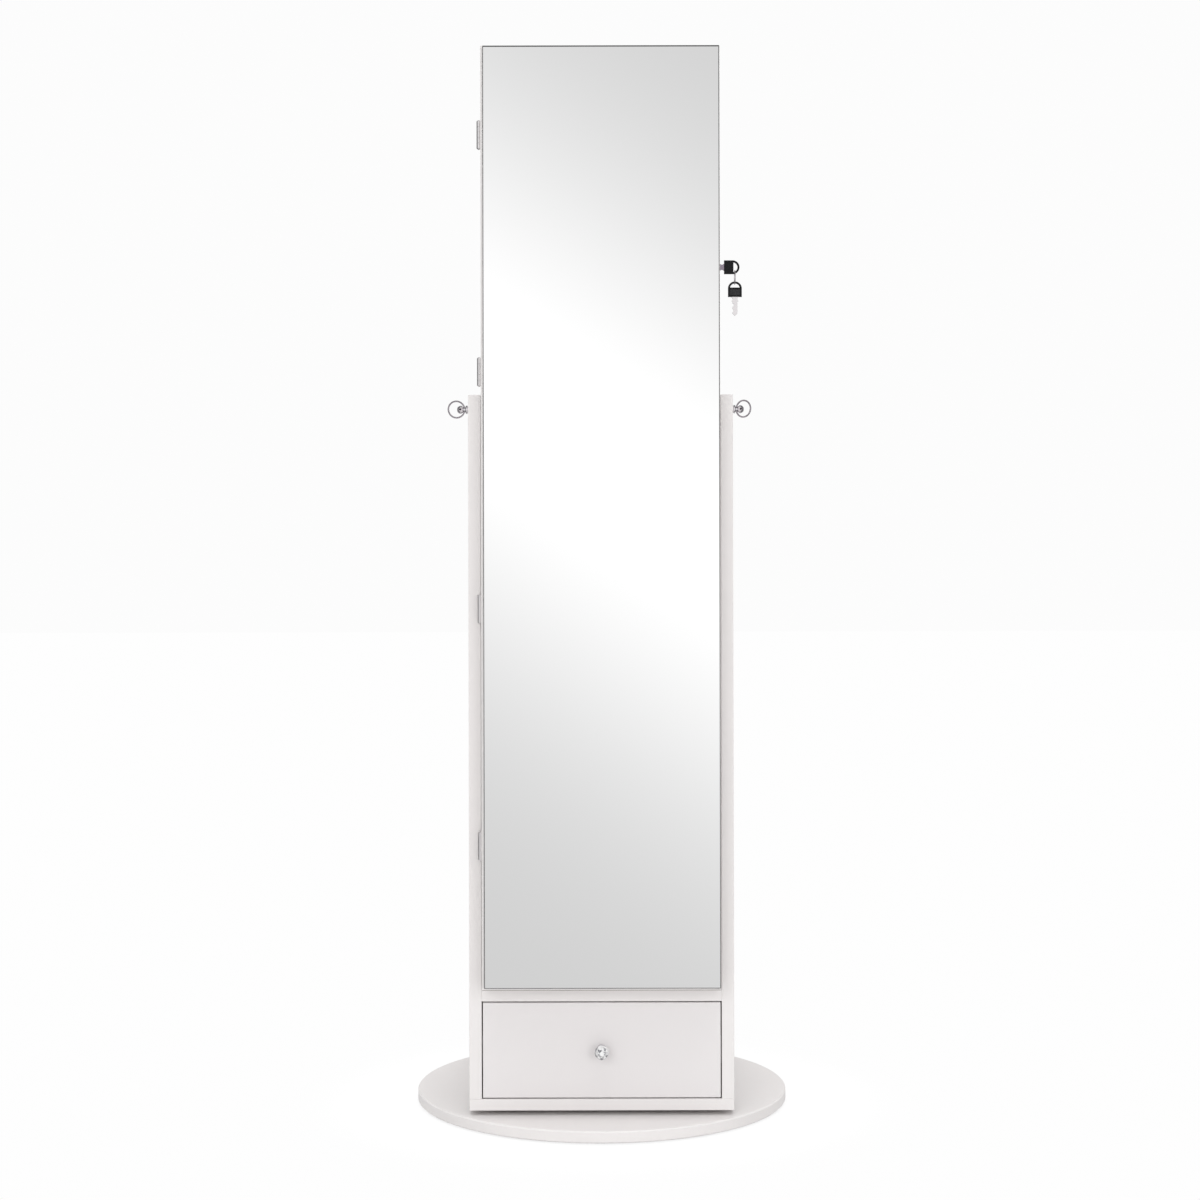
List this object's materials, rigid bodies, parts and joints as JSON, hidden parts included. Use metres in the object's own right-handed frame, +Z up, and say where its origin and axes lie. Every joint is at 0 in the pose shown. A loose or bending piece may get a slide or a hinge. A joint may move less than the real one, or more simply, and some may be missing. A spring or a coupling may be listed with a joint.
{
  "type": "jewelry mirror cabinet",
  "caption": "Free-standing swivelling dressing mirror: its tall mirror door locks onto a jewelry cabinet that tilts between uprights, over a drawer in a base box.",
  "frame": {"origin": "on the floor, on the swivel's axis, under the centre of the round base disc", "axes": "+X to the viewer's right as the mirror is faced, +Y to the back, +Z up"},
  "size_m": [0.4999, 0.5, 1.382],
  "materials": {
    "white_board": "satin white lacquer",
    "white_rod": "gloss white",
    "clear_guard": "clear sheet",
    "cushion_velvet": "short-pile velvet over foam",
    "mirror": "silvered glass",
    "crystal": "polished facets",
    "chrome": "polished plate",
    "zinc": "zinc plate",
    "black_plastic": "fine satin moulding",
    "grey_nylon": "nylon",
    "rubber": "matt"
  },
  "bodies": {
    "base": {"base_disc": "white_board", "floor_pads": "rubber", "swivel_lower_plate": "zinc", "swivel_bolt": "zinc", "swivel_nut": "zinc"},
    "ball_ring": {"swivel_balls": "chrome", "ball_cage": "grey_nylon"},
    "stand": {"swivel_upper_plate": "zinc", "bottom_board": "white_board", "left_side_panel": "white_board", "right_side_panel": "white_board", "box_top": "white_board", "box_back": "white_board", "cross_rail": "white_board", "bumpers": "rubber", "drawer_channels": "zinc", "pivot_spacers": "grey_nylon"},
    "drawer": {"drawer_front": "white_board", "drawer_sides": "white_board", "drawer_floor": "white_board", "drawer_back": "white_board", "drawer_runners": "zinc", "knob_base": "chrome", "knob_crystal": "crystal", "knob_screw": "zinc"},
    "left_screw": {"left_pivot_screw": "chrome"},
    "left_ring": {"left_pull_ring": "chrome"},
    "right_screw": {"right_pivot_screw": "chrome"},
    "right_ring": {"right_pull_ring": "chrome"},
    "cabinet": {"cabinet_left_side": "white_board", "cabinet_right_side": "white_board", "cabinet_top": "white_board", "cabinet_bottom": "white_board", "cabinet_back": "white_board", "shelves": "white_board", "shelf_guards": "clear_guard", "peg_rail": "white_board", "necklace_pegs": "white_rod", "ring_cushion": "cushion_velvet", "earring_cleats": "white_board", "earring_plate": "white_rod", "bracelet_rod": "white_rod", "pivot_inserts": "zinc", "cabinet_hinge_leaves": "chrome", "hinge_pins": "chrome", "lock_barrel": "chrome", "lock_nut": "zinc"},
    "door": {"door_panel": "white_board", "door_stiles": "white_board", "door_rails": "white_board", "mirror_glass": "mirror", "door_hinge_leaves": "chrome", "lock_strike": "zinc"},
    "lock_plug": {"lock_plug": "chrome", "lock_cam": "zinc"},
    "key": {"key_blade": "chrome", "key_bow": "black_plastic"},
    "key_ring": {"key_ring": "chrome"},
    "spare_key": {"spare_key_blade": "chrome", "spare_key_bow": "black_plastic"}
  },
  "joints": [
    {"name": "swivel", "type": "hinge", "parent": "base", "child": "stand", "pos_m": [0, 0, 0], "axis": [0, 0, 1], "continuous": true},
    {"name": "ball_ring_turn", "type": "hinge", "parent": "base", "child": "ball_ring", "pos_m": [0, 0, 0], "axis": [0, 0, 1], "continuous": true},
    {"name": "drawer_slide", "type": "slide", "parent": "stand", "child": "drawer", "axis": [0, -1, 0], "range_m": [0, 0.2]},
    {"name": "left_screw_turn", "type": "hinge", "parent": "stand", "child": "left_screw", "pos_m": [-0.16, -0.135, 0.9258], "axis": [1, 0, 0], "continuous": true},
    {"name": "right_screw_turn", "type": "hinge", "parent": "stand", "child": "right_screw", "pos_m": [0.16, -0.135, 0.9258], "axis": [1, 0, 0], "continuous": true},
    {"name": "left_ring_swing", "type": "hinge", "parent": "left_screw", "child": "left_ring", "pos_m": [-0.1768, -0.135, 0.9258], "axis": [0, 0, 1], "range_deg": [-95, 65]},
    {"name": "right_ring_swing", "type": "hinge", "parent": "right_screw", "child": "right_ring", "pos_m": [0.1768, -0.135, 0.9258], "axis": [0, 0, 1], "range_deg": [-45, 115]},
    {"name": "cabinet_tilt", "type": "hinge", "parent": "stand", "child": "cabinet", "pos_m": [0, -0.135, 0.9258], "axis": [-1, 0, 0], "range_deg": [0, 15]},
    {"name": "door_swing", "type": "hinge", "parent": "cabinet", "child": "door", "pos_m": [-0.1551, -0.1745, 0.78], "axis": [0, 0, -1], "range_deg": [0, 100]},
    {"name": "lock_turn", "type": "hinge", "parent": "cabinet", "child": "lock_plug", "pos_m": [0.14, -0.152, 1.1075], "axis": [-1, 0, 0], "range_deg": [0, 90]},
    {"name": "key_slide", "type": "slide", "parent": "lock_plug", "child": "key", "axis": [1, 0, 0], "range_m": [0, 0.028]},
    {"name": "key_ring_hang", "type": "hinge", "parent": "key", "child": "key_ring", "pos_m": [0.174, -0.152, 1.1005], "axis": [-1, 0, 0], "range_deg": [-90, 0]},
    {"name": "spare_key_swing", "type": "hinge", "parent": "key_ring", "child": "spare_key", "pos_m": [0.174, -0.152, 1.08565], "axis": [0, 1, 0], "range_deg": [-40, 22]}
  ],
  "couplings": [
    {"joint": "ball_ring_turn", "follows": "swivel", "ratio": 0.5},
    {"joint": "key_ring_hang", "follows": "lock_turn", "ratio": -1}
  ]
}
